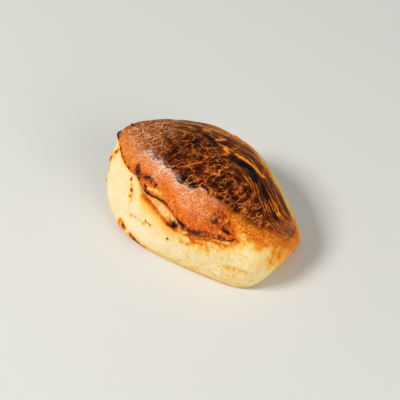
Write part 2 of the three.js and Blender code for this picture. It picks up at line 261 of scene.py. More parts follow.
# Plates and strands of the glaze that are darker, and ones that are brighter
DARK = {
    "back, first": ([(120, 63.5), (111.8, 59.2)], 1.3, 0.8),
    "back, second": ([(107, 64), (95, 68)], 1.7, 1.0),
    "back, third": ([(90, 70.5), (86, 73.5)], 1.5, 1.0),
    "left plate": ([(187.8, 75.2)], 2.2, 0.6),
    "left edge": ([(212, 69)], 2.0, 0.6),
    "edge lobe": ([(238.8, 70)], 2.4, 0.6),
    "edge lobe, right": ([(261.2, 73)], 1.6, 0.6),
    "lowest lobe": ([(278, 70.5), (288, 70)], 2.2, 0.6),
    "blue-black band": ([(52, 72), (44.5, 70.5), (32.2, 64.8), (13.2, 62)], 1.9, 1.0),
    "band's tail": ([(8, 58), (0.2, 54)], 1.8, 0.8),
    "near the right tip": ([(354, 44), (352, 40)], 1.5, 0.7),
    "upright cell": ([(352, 64.5), (354.5, 62)], 1.3, 0.9),
    "cell beside it": ([(342.8, 70.5)], 1.5, 0.7),
    "cell in the middle": ([(329.8, 75)], 1.7, 0.6),
}
BRIGHT = {
    "streak on the back": ([(93, 66.5), (86, 58)], 0.8, 0.9),
    "blob behind the crown": ([(74, 69), (67, 70.5)], 1.5, 0.9),
    "patch at the back left": ([(110, 57), (104, 54)], 1.3, 0.6),
    "long streak": ([(60, 66.5), (55.2, 65.8), (44.2, 63.8), (35.2, 59.8), (27, 57)], 0.9, 1.0),
    "spot near the right tip": ([(356.2, 42.5)], 1.1, 0.8),
    "patch on the crown": ([(315.8, 82.2), (330, 84)], 1.6, 0.6),
    "edge of the plates": ([(238, 74.5), (247, 82), (300, 88), (60, 87)], 0.6, 0.9),
    "wire across the left": ([(210.5, 65.2), (195.5, 73.2), (157.5, 73.5)], 0.5, 0.7),
}

# Zones round the bun in degrees of longitude: where each starts, is full, begins to fade and ends
CHEEK_SPECKS = (206, 214, 232, 240)
SPLIT = (236, 243, 268, 274)
PANEL = (262, 280, 322, 336)
RAGGED_SEAM = (264.5, 268.5, 308, 320)
TORN_BAND = (268, 276, 300, 311)
# The same, counted from -180 to 180: the pale rim at the back right, and where the change from
# side to crust is broad, or held back by some millimetres
BACK_RIM = (2, 16, 100, 125)
BROAD_CHANGE = (-62, -42, 0, 8)
HELD_BACK = [((-50, -40, -26, -16), 1.8), ((-144, -139, -128, -124), 1.0)]
# The same along X in millimetres: the glaze's bumpy edge, which carries painted glints, and the
# satin skin, which carries a painted sheen
GLINT_EDGE_ZONE = (-36, -24, 0, 12)
SATIN_AND_SHEEN_ZONE = (-50, -38, 14, 26)

# Millimetres from the crust's edge to its change of colour: under it all round, but over it
# along the back rim, where it rises, and by how much less behind the crown
CHANGE_UNDER_EDGE = 1.2
RIM_RISE, RIM_FALL = 6, 2.5
# Down the gape, 0 to 1, where the split's red-brown root begins to fade and where it is gone
ROOT_FADES, ROOT_GONE = 0.42, 0.62
# How far the glaze's bumpy edge, which carries painted glints, reaches to each side, in millimetres
GLINT_EDGE_REACH = 1.5

# Layers of unevenness: the size in millimetres of the lumps, and lists of a size and a height
FINE_SIZE, GRAIN_SIZE = 7, 2.2
GLAZE_LOBES = [(5, 1.5), (2.2, 0.9)]
CRUMB_LUMPS = [(4.5, 0.22), (1.8, 0.1)]
TORN_LUMPS = [(2.4, 0.7), (1.1, 0.3)]

# The fine relief in millimetres, and the size of the glaze's plates
STRAND_HEIGHT, SATIN_HEIGHT, GLINT_EDGE_HEIGHT, PLATE_HEIGHT = 0.2, 0.09, 0.16, 0.14
PLATE_SIZE = 5
# Strands lie where a site is past a distance in a direction: its longitude, and where they begin
# and are full. Towards the ends they gather by some degrees
STRAND_ZONES = [(62, 9, 16), (110, 12, 20)]
STRAND_GATHER = 26
# The glaze's cells: their lean in degrees, how they are drawn out, and how they are bent
CELL_LEAN, CELL_STRETCH = 62, 1.5
CELL_BEND_SIZE, CELL_BEND = 6, 1.5

# How far the oven took each part, from raw dough at 0 to a dark crust at 1
CRUST_TOAST, SIDE_TOAST, END_TOAST, RIM_TOAST = 0.53, 0.03, 0.32, 0.24
UNDER_SEAM_TOAST, FOOT_TOAST, RIGHT_TOAST = 0.14, 0.22, 0.05
TORN_TOAST, ROOT_TOAST, OPENED_TOAST = 0.18, 0.42, 0.5
# The first of the next four is no baking: it is a painted shadow line along the split's lower lip
RIM_SHADOW_LINE, RIM_LINE_PALE, TORN_EDGE_PALE, GOLD_LINE_PALE = 0.08, 0.28, 0.38, 0.26
# The glow round charred places, and how much wider than them it is
CHAR_GLOW, CHAR_GLOW_SPREAD = 0.3, 1.6

# The mesh: a square grid wraps the crown, rings of columns run down the sides to the foot
CROWN_SQUARES = 176
COLUMNS = 4 * CROWN_SQUARES
COLUMN_GATHER_AT, COLUMN_GATHER_SHARE = 255, 0.28
CROWN_CAP = 12
RINGS_OVER_SEAM = 20
RINGS_IN_SEAM = 12
RINGS_UNDER_SEAM = 42
GATHER_OVER_SEAM, GATHER_UNDER_SEAM = 1.3, 1.25
SIDE_FOOT_LATITUDE = -47
FOOT_RINGS = 4


def direction(longitude, latitude):
    """Unit vectors at a longitude and latitude in degrees."""
    turn = np.radians(longitude)
    climb = np.radians(latitude)
    return np.stack([np.cos(climb) * np.cos(turn), np.cos(climb) * np.sin(turn), np.sin(climb)], -1)


def unit(vectors):
    """Each vector divided by its length."""
    return vectors / np.maximum(np.linalg.norm(vectors, axis=-1, keepdims=True), 1e-12)


def smooth(value, low, high):
    """0 below low, 1 above high, and an S between them."""
    share = np.clip((value - low) / (high - low), 0, 1)
    return share * share * (3 - 2 * share)


def soft_limit(value, limit, softness):
    """The smaller of value and limit, with a parabola where they meet."""
    nearness = np.maximum(softness - np.abs(value - limit), 0) / softness
    return np.minimum(value, limit) - nearness * nearness * softness / 4


def between(value, start, full, fading, end):
    """0 up to the start, 1 from full to fading and 0 past the end, with an S on each side."""
    return smooth(value, start, full) * smooth(value, end, fading)


def bell(value, reach):
    """A bell curve: 1 where the value is 0, and down to 1/e at the reach on each side."""
    return np.exp(-(value / reach) ** 2)


def fall_off(distance, reach):
    """1 up to a distance of 0, then falling away, to 1/e at the reach."""
    return np.exp(-np.maximum(distance, 0) / reach)


def half_round(share):
    """The height of a half circle over its width: 0 at shares of 0 and 1, and 1 midway."""
    return np.sqrt(4 * share * (1 - share))


def mixed(first, second, share):
    """The first value where the share is 0, the second where it is 1."""
    return first * (1 - share) + second * share


def signed_power(value, power):
    """The power of a value's size, with its sign kept."""
    return np.sign(value) * np.abs(value) ** power


def dough_point(aim):
    """The smooth dough in the direction of unit vectors: a superellipse across the bun at every
    step along X, narrowed and lowered towards both ends, then pressed flat where it was touched."""
    x, y, z = np.moveaxis(aim, -1, 0)
    right, back, above = x > 0, y > 0, z > 0
    spread = np.sqrt(np.maximum(1 - x**2, 1e-12))
    roundness = np.where(above, ROUNDNESS_ABOVE, ROUNDNESS_BELOW)
    across = signed_power(y / spread, 2 / roundness)
    upward = signed_power(z / spread, 2 / roundness)
    power = np.where(
        back,
        np.where(right, NARROWING_BACK_RIGHT, NARROWING_BACK_LEFT),
        np.where(right, NARROWING_FRONT_RIGHT, NARROWING_FRONT_LEFT))
    narrowed = np.sqrt(np.maximum(1 - np.abs(x) ** power, 0))
    sharpness = np.where(right, LOWERING_RIGHT, LOWERING_LEFT)
    lowered = np.maximum(1 - np.abs(x) ** LOWERING_POWER, 0) ** sharpness
    point = np.stack([
        np.where(right, REACH_RIGHT, REACH_LEFT) * x,
        np.where(back, WIDTH_BACK, WIDTH_FRONT) * across * narrowed,
        WAIST_HEIGHT - WAIST_FALL * x + np.where(above, CROWN, KEEL) * upward * lowered], -1)
    for azimuth, tilt, distance, softness in PRESSED:
        outward = direction(azimuth, tilt)
        reach = point @ outward
        point = point + (soft_limit(reach, distance, softness) - reach)[..., None] * outward
    point[..., 2] = -soft_limit(-point[..., 2], 0, FOOT_SOFTNESS)
    return point


def dough_frame(longitude, latitude):
    """The smooth dough at a place, its outward direction, the way down its side, and how many
    millimetres a degree of latitude spans. The slopes are differences over a small step."""
    step = 1e-3
    aim = direction(longitude, latitude)
    east = direction(longitude + 90, 0 * latitude)
    north = direction(longitude, latitude + 90)
    eastward = dough_point(unit(aim + step * east)) - dough_point(unit(aim - step * east))
    upward = dough_point(unit(aim + step * north)) - dough_point(unit(aim - step * north))
    outward = unit(np.cross(eastward, upward))
    per_degree = np.linalg.norm(upward, axis=-1) * math.radians(1) / (2 * step)
    return dough_point(aim), outward, -unit(upward), per_degree


def along_seam(values, longitude):
    """One of the seam's values at each longitude, by a smooth closed curve through its points."""
    turned = SEAM_PLACES[0] + (longitude - SEAM_PLACES[0]) % 360
    places = np.concatenate([SEAM_PLACES[-1:] - 360, SEAM_PLACES, SEAM_PLACES[:2] + 360])
    heights = np.concatenate([values[-1:], values, values[:2]])
    slopes = (heights[2:] - heights[:-2]) / (places[2:] - places[:-2])
    i = np.clip(np.searchsorted(SEAM_PLACES, turned, side="right"), 1, len(SEAM_PLACES))
    gap = places[i + 1] - places[i]
    t = (turned - places[i]) / gap
    rest = 1 - t
    return (heights[i] * (1 + 2 * t) * rest * rest + heights[i + 1] * (3 - 2 * t) * t * t
            + gap * (slopes[i - 1] * t * rest * rest - slopes[i] * t * t * rest))


def scatter(cells, seed):
    """Three random numbers from 0 to 1 for each lattice cell, by mixing its whole coordinates."""
    cells = cells.astype(np.int64).astype(np.uint64)
    key = (cells[..., 0] * np.uint64(0x8DA6B343) ^ cells[..., 1] * np.uint64(0xD8163841)
           ^ cells[..., 2] * np.uint64(0xCB1AB31F)) + np.uint64(seed * 0x9E3779B9)
    numbers = []
    for _ in range(3):
        key = (key ^ (key >> np.uint64(31))) * np.uint64(0x7FB5D329728EA185)
        key = (key ^ (key >> np.uint64(27))) * np.uint64(0x81DADEF4BC2DD44D)
        numbers.append((key >> np.uint64(40)).astype(float) / 2**24)
    return np.stack(numbers, -1)


def noise(points, seed):
    """Gradient noise, about -1 to 1: every lattice corner round a point has a random slope, and
    the eight slopes are blended by a smooth step along each axis."""
    base = np.floor(points)
    local = points - base
    fade = local**3 * (local * (local * 6 - 15) + 10)
    total = np.zeros(points.shape[:-1])
    for corner in itertools.product((0, 1), repeat=3):
        slope = 2 * scatter(base + corner, seed) - 1
        weight = np.prod(np.where(corner, fade, 1 - fade), axis=-1)
        total += weight * np.sum(slope * (local - corner), axis=-1)
    return 1.6 * total


def rough_noise(points, seed, octaves=4):
    """Layers of gradient noise, each twice as fine and half as strong as the last."""
    return sum(noise(points * 2**i, seed + i) / 2**i for i in range(octaves))


def lumps(points, layers, seed):
    """Layers of gradient noise, each with the size of its lumps and its height."""
    return sum(height * noise(points / size, seed + i) for i, (size, height) in enumerate(layers))


def warp(points, size, amount, seed):
    """Points pushed about by noise of a given size and amount, so that patterns bend."""
    pushes = [noise(points / size, seed + i) for i in range(3)]
    return points + amount * np.stack(pushes, -1)


def cell_borders(points, seed):
    """For a pattern of random cells one unit apart: the distance to the nearest border, which is
    the plane midway between the two nearest cell centres."""
    base = np.floor(points)
    nearest = np.full(points.shape[:-1], np.inf)
    centre = np.zeros_like(points)
    around = list(itertools.product((-1, 0, 1), repeat=3))
    for offset in around:
        other = base + offset + scatter(base + offset, seed)
        away = np.linalg.norm(other - points, axis=-1)
        closer = away < nearest
        nearest = np.where(closer, away, nearest)
        centre = np.where(closer[..., None], other, centre)
    border = np.full(points.shape[:-1], np.inf)
    for offset in around:
        other = base + offset + scatter(base + offset, seed)
        apart = other - centre
        length = np.linalg.norm(apart, axis=-1)
        across = np.sum(((other + centre) / 2 - points) * apart, axis=-1) / np.maximum(length, 1e-9)
        border = np.where(length > 1e-6, np.minimum(border, across), border)
    return border


def distance_to_path(points, corners):
    """How far each point is from the nearest of the straight runs between a path's corners."""
    if len(corners) == 1:
        return np.linalg.norm(points - corners[0], axis=-1)
    distance = np.full(points.shape[:-1], np.inf)
    for start, end in zip(corners[:-1], corners[1:]):
        run = end - start
        share = np.clip((points - start) @ run / (run @ run), 0, 1)
        away = np.linalg.norm(points - start - share[..., None] * run, axis=-1)
        distance = np.minimum(distance, away)
    return distance


def laid_on(points, strokes, spread=1.0):
    """The sum of soft strokes: each is its height times a bell curve of the distance to its path,
    and spread widens every stroke."""
    total = np.zeros(points.shape[:-1])
    for path, reach, height in strokes.values():
        corners = dough_point(direction(*np.array(path, float).T))
        total += height * bell(distance_to_path(points, corners), reach * spread)
    return total


def seam_edge(longitude):
    """The latitude of the crust's edge: the seam's curve, a slow waver and a ragged fine one."""
    turn = np.radians(longitude)
    around = np.stack([np.cos(turn), np.sin(turn), 0 * turn], -1)
    ragged = noise(around * RAG_CIRCLE, 3) + 0.6 * noise(around * FINE_RAG_CIRCLE, 4)
    torn = smooth(along_seam(SEAM_LIP, longitude), 0.1, 0.6)
    return (along_seam(SEAM_EDGE, longitude) + SEAM_WAVER * np.sin(11 * turn) * np.cos(4 * turn)
            + SEAM_RAG * ragged * (0.35 + 0.65 * torn))


def seam_relief(longitude, latitude, per_degree):
    """How far the seam lifts or sinks the dough and how far its lip hangs over, in millimetres: a
    lip that fades over the crust, a half-round gape, and a smaller lip below it. Also the distance
    above the crust's edge and below the gape, and how far across the gape the place is, 0 to 1."""
    edge = seam_edge(longitude)
    gape = along_seam(SEAM_GAPE, longitude)
    depth = along_seam(SEAM_DEPTH, longitude)
    lip = along_seam(SEAM_LIP, longitude)
    above = (latitude - edge) * per_degree
    below = (edge - gape - latitude) * per_degree
    across = np.clip((edge - latitude) / gape, 0, 1)
    over = above >= 0
    under = below >= 0
    lower_lip = LOWER_LIP * lip * bell(below, LOWER_LIP_REACH)
    lift = np.where(
        over, lip * bell(above, LIP_REACH), np.where(under, lower_lip, -depth * half_round(across)))
    hang = np.where(over, LIP_OVERHANG * lip * fall_off(above, 1), 0)
    return lift, hang, above, below, across


def uneven_lift(points):
    """Slow swells of hand-shaped dough, from crossed sine waves."""
    x, y, z = np.moveaxis(2 * np.pi * points / np.array(UNEVEN_WAVES), -1, 0)
    return UNEVEN_HEIGHT * np.sin(x + np.sin(z)) * np.sin(y + np.sin(x))


class Site:
    """Places on the bun, as arrays, with what the relief and the looks are worked out from: the
    dough there, how it lies to the seam, two layers of unevenness that all patterns share, and
    masks from 0 to 1 of what covers it."""

    def __init__(self, longitude, latitude):
        self.longitude, self.latitude = longitude, latitude
        self.turn = (longitude + 180) % 360 - 180
        self.point, self.outward, self.down, self.per_degree = dough_frame(longitude, latitude)
        self.x, self.y, self.z = np.moveaxis(self.point, -1, 0)
        seam = seam_relief(longitude, latitude, self.per_degree)
        self.lift, self.hang, self.above, self.below, self.across = seam
        self.fine = rough_noise(self.point / FINE_SIZE, 11)
        self.grain = rough_noise(self.point / GRAIN_SIZE, 12, 3)
        self.crust = smooth(self.above, -0.2, 0.2)
        self.rim_rise = (
            (RIM_RISE - RIM_FALL * smooth(self.turn, 50, 66)) * between(self.turn, *BACK_RIM))
        self.crumb, self.panel = self.bare_sides()
        self.torn, self.root, self.strip = self.split_inside()
        self.glaze, self.frost, self.tan, self.gold = self.glaze_cover()
        self.strands, self.cells = self.pattern_places()
        self.strand_zone = np.maximum(*[
            smooth(self.point @ direction(facing, 0) + 2 * self.fine, near, far) * self.crust
            for facing, near, far in STRAND_ZONES])

    def bare_sides(self):
        """The open crumb of the sides, which is closed at the right end, and its torn panel at
        the front right."""
        right_end = smooth(self.longitude % 360, 316, 336) * smooth(self.x, 44, 52)
        right_end = np.clip(right_end + smooth(self.x, 52, 56), 0, 1)
        crumb = (1 - self.crust) * (1 - 0.8 * right_end)
        return crumb, between(self.longitude, *PANEL) * crumb

    def split_inside(self):
        """Torn dough where the seam gapes deep, its red-brown root under the crust, and the pale
        crumb below that, which ends in a thin rim."""
        in_gape = (self.above < 0) & (self.below < 0)
        torn = np.where(in_gape, half_round(self.across), 0)
        torn = torn * smooth(along_seam(SEAM_DEPTH, self.longitude), 1.2, 2.4)
        torn = torn * smooth(self.longitude + 3 * self.grain, 275, 268)
        down_gape = self.across + 0.12 * self.grain
        root = torn * smooth(down_gape, ROOT_GONE, ROOT_FADES)
        strip = torn * smooth(down_gape, ROOT_FADES, ROOT_GONE) * smooth(self.below, -0.1, -0.5)
        return torn, root, strip

    def glaze_cover(self):
        """The dark glaze, which lies behind its line with a lobed border, soft to the right, and
        as a thin veil at the right tip; its bumpy edge, which is glossier and carries painted
        glints;
        the skin that baked tan at the left end and under the veil; and the gold lines that part the
        glaze along the back."""
        lobes = lumps(self.point, GLAZE_LOBES, 21)
        behind = self.y - np.interp(self.x, GLAZE_LINE[:, 0], GLAZE_LINE[:, 1])
        diffuse = 0.6 + 3.5 * smooth(self.x, 12, 34) + 7 * smooth(self.x, -20, -38)
        veil = np.clip(laid_on(self.point, VEILS) * (1 + 0.4 * self.fine), 0, 1)
        gold = np.clip(laid_on(self.point, GOLD_LINES) * (1 + 0.5 * self.grain), 0, 1)
        glaze = smooth(behind + lobes, -diffuse, diffuse) * self.crust
        glaze = glaze * smooth(self.above - self.rim_rise, 0.4, 3)
        glaze = glaze * smooth(self.x + self.fine, 54.5, 50) * (1 - 0.9 * gold)
        frost = bell(behind + lobes + 0.6, GLINT_EDGE_REACH) * between(self.x, *GLINT_EDGE_ZONE)
        tan = np.maximum(smooth(self.x + 5 * self.fine, -13, -34), smooth(veil, 0.2, 0.7))
        return np.maximum(glaze, 0.9 * veil), frost, tan, gold

    def pattern_places(self):
        """Two vectors in which patterns are laid. Strands run from tip to tip: across them goes
        the turn round the bun's long axis, gathered to its ends. Cells lie across the crown: the
        plan is turned by their lean, drawn out along it and bent by noise."""
        aim = direction(self.longitude, self.latitude)
        roll = np.degrees(np.arctan2(aim[..., 2], aim[..., 1]))
        gathered = roll - STRAND_GATHER * smooth(np.abs(aim[..., 0]), 0.3, 0.85)
        bend = rough_noise(self.point / 8, 11, 2)
        strands = np.stack([0.08 * self.x, 0.5 * gathered + 0.6 * bend, 0 * self.x], -1)
        lean = math.radians(CELL_LEAN)
        x, y, z = np.moveaxis(warp(self.point, CELL_BEND_SIZE, CELL_BEND, 31), -1, 0)
        cells = np.stack([
            (x * math.cos(lean) + y * math.sin(lean)) / CELL_STRETCH,
            y * math.cos(lean) - x * math.sin(lean), z], -1)
        return strands, cells


def fine_relief(at):
    """The millimetres that the fine patterns lift a site: strands, satin and frosted grain, the
    glaze's plates between their sunk borders, and lumps of the crumb and of the torn split."""
    strands = STRAND_HEIGHT * noise(at.strands * 0.9, 51)
    strands = strands * np.maximum(at.strand_zone, at.tan) * at.crust
    satin = SATIN_HEIGHT * at.grain * at.crust * (1 - at.glaze)
    frost = GLINT_EDGE_HEIGHT * at.grain * at.frost
    plates = smooth(PLATE_SIZE * cell_borders(at.cells / PLATE_SIZE, 35), 0.05, 1.1)
    plates = PLATE_HEIGHT * plates * at.glaze * (1 - at.tan) * (1 - at.strand_zone)
    crumb = at.crumb * lumps(at.point, CRUMB_LUMPS, 71) * (1 + 0.6 * at.panel)
    torn = at.torn * lumps(at.point, TORN_LUMPS, 81)
    return plates + strands + satin + frost + crumb + torn


def crust_share(at):
    """How far a site is crust and not side, 0 to 1. The change lies a little under the crust's
    edge, sharp at the front left and broad at the right end. At the back right it lies above the
    seam and leaves a pale rim, and it stays back over the corner and beside the split."""
    over_change = at.above + CHANGE_UNDER_EDGE - at.rim_rise
    for zone, held_back in HELD_BACK:
        over_change = over_change - held_back * between(at.turn, *zone)
    breadth = 0.5 + 4.2 * between(at.turn, *BROAD_CHANGE) + 0.25 * at.rim_rise
    return smooth(over_change + 0.6 * at.fine * breadth, -breadth, breadth)


def plain_toast(at, crust):
    """How far the oven took the side and the crust: the side is warmer under the seam, at the
    foot, from the front on to the right and behind, and on the right end's face, and gilded along
    the pale rim."""
    warm = 0.5 + 0.5 * at.fine
    end_face = smooth(at.turn + 5 * at.fine + 0.25 * at.latitude, -27, -7)
    end_face = end_face * smooth(at.turn + 6 * at.fine, 32, 2)
    end_face = end_face * (0.55 + 0.45 * smooth(at.latitude, -42, 5))
    side = SIDE_TOAST + 0.07 * warm
    side = side + UNDER_SEAM_TOAST * fall_off(at.below, 2.5) * (0.4 + 0.7 * warm)
    side = side + FOOT_TOAST * fall_off(at.z, 2.2) * (0.8 + 0.4 * at.fine)
    side = side + RIGHT_TOAST * smooth(at.turn, -98, -70) + end_face * (END_TOAST + 0.1 * at.fine)
    gilded = smooth(at.rim_rise, 0, 3) * smooth(at.above, -0.5, 2)
    side = mixed(side, RIM_TOAST + 0.08 * at.fine, gilded)
    crown = CRUST_TOAST + 0.04 * fall_off(at.above, 3) + 0.04 * at.fine
    return mixed(side, crown, crust)


def opened_toast(at, toast):
    """The toast where the dough came open: the split's inside and the ragged seam to its right
    have their own, then a brown band lies over that seam, the split's upper edge is darker, and
    thin lines mark its rim, a painted shadow along the lower lip and then a pale line, and the
    ragged seam's pale torn edge."""
    toast = mixed(toast, TORN_TOAST + 0.24 * at.grain + 0.2 * at.fine, at.torn)
    toast = toast + ROOT_TOAST * at.root
    ragged = between(at.longitude, *RAGGED_SEAM)
    opened = ragged * smooth(at.above, 0.2, -0.2) * fall_off(at.below, 1.6)
    toast = mixed(toast, OPENED_TOAST + 0.16 * at.grain, opened)
    band = between(at.longitude, *TORN_BAND) * bell(at.above - 1.0, 1.3) * (0.8 + 0.7 * at.grain)
    split = between(at.longitude, *SPLIT)
    upper_edge = split * bell(at.above - 0.1, 0.6) * (at.across < 0.3)
    # Painted shadow: a thin dark line along the lower lip's edge; then a pale line of crumb further
    # into the gape
    rim_shadow_and_pale_line = split * (at.across > 0.6) * (
        RIM_SHADOW_LINE * bell(at.below + 0.1, 0.3) - RIM_LINE_PALE * bell(at.below + 0.75, 0.35))
    torn_edge = ragged * bell(at.below + 0.2, 0.18) * smooth(at.across, 0.3, 0.6)
    torn_edge = torn_edge * smooth(noise(at.point / 2.5, 95), -0.3, 0.2)
    return toast + 0.25 * band + 0.2 * upper_edge + rim_shadow_and_pale_line - TORN_EDGE_PALE * torn_edge


def burnt_share(at, charred):
    """How burnt a site is: the charred strokes, uneven by grain and streaks along the strands,
    and specks over the cheek, cut off to spots with a clear edge."""
    specks = between(at.longitude, *CHEEK_SPECKS) * between(at.above, -1, 1, 5, 9)
    specks = specks * smooth(noise(at.point / 1.3, 91), 0.42, 0.62)
    streaks = noise(at.strands * (2.2, 0.9, 1), 93)
    charred = charred * (1 + 0.5 * at.grain + 0.5 * streaks) + 0.5 * specks
    return smooth(charred + 0.4 * at.grain * smooth(charred, 0.05, 0.4), 0.2, 0.95)


def satin_and_sheen_share(at):
    """How far the satin skin with its painted sheen covers a site: on the crust's middle, well over
    the seam, and at the right tip.
    """
    middle = between(at.x + 4 * at.fine, *SATIN_AND_SHEEN_ZONE) * smooth(at.above, 5, 14 + 4 * at.fine)
    tip = 0.6 * smooth(at.x + at.fine, 50, 55) * smooth(at.above, -1, 1)
    return np.maximum(middle, tip)


def bun_surface(longitude, latitude):
    """The finished surface and what the oven did to it, at arrays of places. The dough is moved
    along its outward direction by the seam, the strokes and the fine relief, all of which fade
    out above the foot, and each look is a number from 0 to 1 worked out from the same places."""
    at = Site(longitude, latitude)
    height = at.lift + laid_on(at.point, STROKES) + laid_on(at.point, FLAKES)
    height = height + uneven_lift(at.point) + fine_relief(at)
    off_foot = smooth(at.z, 0, FOOT_SOFTNESS)
    surface = (at.point + (height * off_foot)[..., None] * at.outward
               + (at.hang * off_foot)[..., None] * at.down)

    crust = crust_share(at)
    browned = laid_on(at.point, BROWNED)
    toast = opened_toast(at, plain_toast(at, crust))
    toast = toast + browned * np.clip(0.9 + at.grain, 0.15, 1.6) * (1 - 0.7 * at.strip)
    toast = toast + laid_on(at.point, TONED) - GOLD_LINE_PALE * at.gold
    toast = toast + CHAR_GLOW * smooth(laid_on(at.point, CHARRED, CHAR_GLOW_SPREAD), 0.05, 1.0)
    uneven = 1 + 0.6 * at.grain
    looks = {
        "toast": toast,
        "glaze": at.glaze,
        # The glaze's bumpy edge: glossier, and carrying painted glints
        "frost": at.frost * at.crust,
        "tan": at.tan * at.crust,
        "rim": at.strand_zone,
        "small_cells": smooth(at.x + 4 * at.fine, -6, 6),
        "dark": laid_on(at.point, DARK) * uneven,
        "bright": laid_on(at.point, BRIGHT) * uneven,
        "burnt": burnt_share(at, laid_on(at.point, CHARRED)),
        "crust": crust,
        # The satin skin: brown crust with a painted sheen of pale specks
        "satin": satin_and_sheen_share(at) * crust * (1 - np.clip(2.4 * browned, 0, 0.8)),
        "crumb": at.crumb + at.torn,
        "panel": at.panel,
        "torn": at.strip,
    }
    looks = {name: np.clip(values, 0, 1) for name, values in looks.items()}
    return surface, looks | {"strands": at.strands, "cells": at.cells}


def column_longitude(turn):
    """Columns stand closer together at the front, where the seam opens."""
    gathered = np.radians(turn - COLUMN_GATHER_AT)
    return turn - np.degrees(COLUMN_GATHER_SHARE * np.sin(gathered))


def square_to_disc(across, along):
    """A square grid's points turned onto a disc: how far out each lies, 0 to 1, and its turn. Rings
    of the square become rings of the disc, and each side of the square a quarter turn."""
    wide = np.abs(across) > np.abs(along)
    out = np.maximum(np.abs(across), np.abs(along))
    safe = np.maximum(out, 1e-9)
    left, lower = np.where(across < 0, 180, 0), np.where(along < 0, 180, 0)
    sideways = 45 * along / (safe * np.sign(across + (across == 0))) + left
    upright = 90 - 45 * across / (safe * np.sign(along + (along == 0))) + lower
    return out, np.where(wide, sideways, upright) % 360


def crown_grid():
    """The crown's square grid: longitudes, latitudes, how far out each point lies and its turn.
    The grid's middle is the top of the bun, and its border lies a cap's height over the seam."""
    line = np.linspace(-1, 1, CROWN_SQUARES + 1)
    along, across = np.meshgrid(line, line, indexing="ij")
    out, turn = square_to_disc(across, along)
    longitude = column_longitude(turn)
    rim = seam_edge(longitude) + CROWN_CAP
    return longitude, 90 - (90 - rim) * out, out, turn


def side_rings(columns):
    """The latitudes of the rings at each column: over the seam, in its gape, below it down to the
    foot, and on the foot. They stand closer together towards the seam."""
    edge = seam_edge(columns)
    gape = along_seam(SEAM_GAPE, columns)
    over = CROWN_CAP * (1 - np.linspace(0, 1, RINGS_OVER_SEAM + 1)[1:]) ** GATHER_OVER_SEAM
    inside = (1 - np.cos(np.pi * np.linspace(0, 1, RINGS_IN_SEAM + 2)[1:-1])) / 2
    under = np.linspace(0, 1, RINGS_UNDER_SEAM) ** GATHER_UNDER_SEAM
    foot = np.linspace(SIDE_FOOT_LATITUDE, -90, FOOT_RINGS + 2)[1:-1]
    return np.concatenate([
        edge + over[:, None],
        edge - gape * inside[:, None],
        (edge - gape) * (1 - under[:, None]) + SIDE_FOOT_LATITUDE * under[:, None],
        np.repeat(foot[:, None], COLUMNS, axis=1)])


def crown_faces(grid):
    """Two triangles for each square of the crown, split along the diagonal that points to the
    middle, so that none is a sliver."""
    a, b = grid[:-1, :-1], grid[:-1, 1:]
    c, d = grid[1:, 1:], grid[1:, :-1]
    row, column = np.indices(a.shape) - (CROWN_SQUARES - 1) / 2
    crossed = (row * column < 0)[..., None]
    first_half = np.where(crossed, np.stack([b, c, d], -1), np.stack([a, b, c], -1))
    second_half = np.where(crossed, np.stack([b, d, a], -1), np.stack([a, c, d], -1))
    return np.concatenate([first_half.reshape(-1, 3), second_half.reshape(-1, 3)])


def ring_faces(rings):
    """Two triangles at each column between every ring of vertices and the next."""
    upper, lower = rings[:-1], rings[1:]
    upper_next, lower_next = np.roll(upper, -1, 1), np.roll(lower, -1, 1)
    return np.concatenate([
        np.stack([upper, lower, lower_next], -1).reshape(-1, 3),
        np.stack([upper, lower_next, upper_next], -1).reshape(-1, 3)])


def bun_mesh():
    """The places of all vertices and the faces between them, as arrays. A square grid covers the
    crown, its border is the first of the rings that follow the seam down to the foot, and a fan
    closes the foot."""
    longitude, latitude, out, turn = crown_grid()
    grid = np.arange(longitude.size).reshape(longitude.shape)
    columns = column_longitude(360 * np.arange(COLUMNS) / COLUMNS)
    ring_latitudes = side_rings(columns)

    on_border = out > 1 - 1e-9
    border_order = np.rint(turn[on_border] * COLUMNS / 360).astype(int) % COLUMNS
    border = np.empty(COLUMNS, int)
    border[border_order] = grid[on_border]
    below = grid.size + np.arange(ring_latitudes.size).reshape(ring_latitudes.shape)
    last = below[-1]
    foot_middle = np.full(COLUMNS, grid.size + below.size)
    faces = np.concatenate([
        crown_faces(grid),
        ring_faces(np.vstack([border, below])),
        np.stack([last, foot_middle, np.roll(last, -1)], -1)])
    longitudes = np.concatenate([longitude.ravel(), np.tile(columns, len(below)), [0.0]])
    latitudes = np.concatenate([latitude.ravel(), ring_latitudes.ravel(), [-90.0]])
    return longitudes, latitudes, faces


def make_bun():
    """The bun as one mesh in metres, set so that its box has the same middle as the CAD node."""
    longitudes, latitudes, faces = bun_mesh()
    surface, looks = bun_surface(longitudes, latitudes)
    low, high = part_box("bun")
    middle = np.array((low + high) / 2) / MM
    shift = middle - (surface.max(0) + surface.min(0)) / 2
    shift[2] = 0
    places = (surface + shift) * MM

    mesh = bpy.data.meshes.new("baked_bun")
    mesh.vertices.add(len(places))
    mesh.vertices.foreach_set("co", places.ravel())
    mesh.loops.add(faces.size)
    mesh.loops.foreach_set("vertex_index", faces.ravel())
    mesh.polygons.add(len(faces))
    mesh.polygons.foreach_set("loop_start", 3 * np.arange(len(faces)))
    mesh.polygons.foreach_set("loop_total", np.full(len(faces), 3))
    mesh.update(calc_edges=True)
    mesh.validate()
    mesh.shade_smooth()
    for name, values in looks.items():
        kind, field = ("FLOAT", "value") if values.ndim == 1 else ("FLOAT_VECTOR", "vector")
        mesh.attributes.new(name, kind, "POINT").data.foreach_set(field, values.ravel())
    bun = bpy.data.objects.new("baked_bun", mesh)
    bpy.context.scene.collection.objects.link(bun)
    return bun


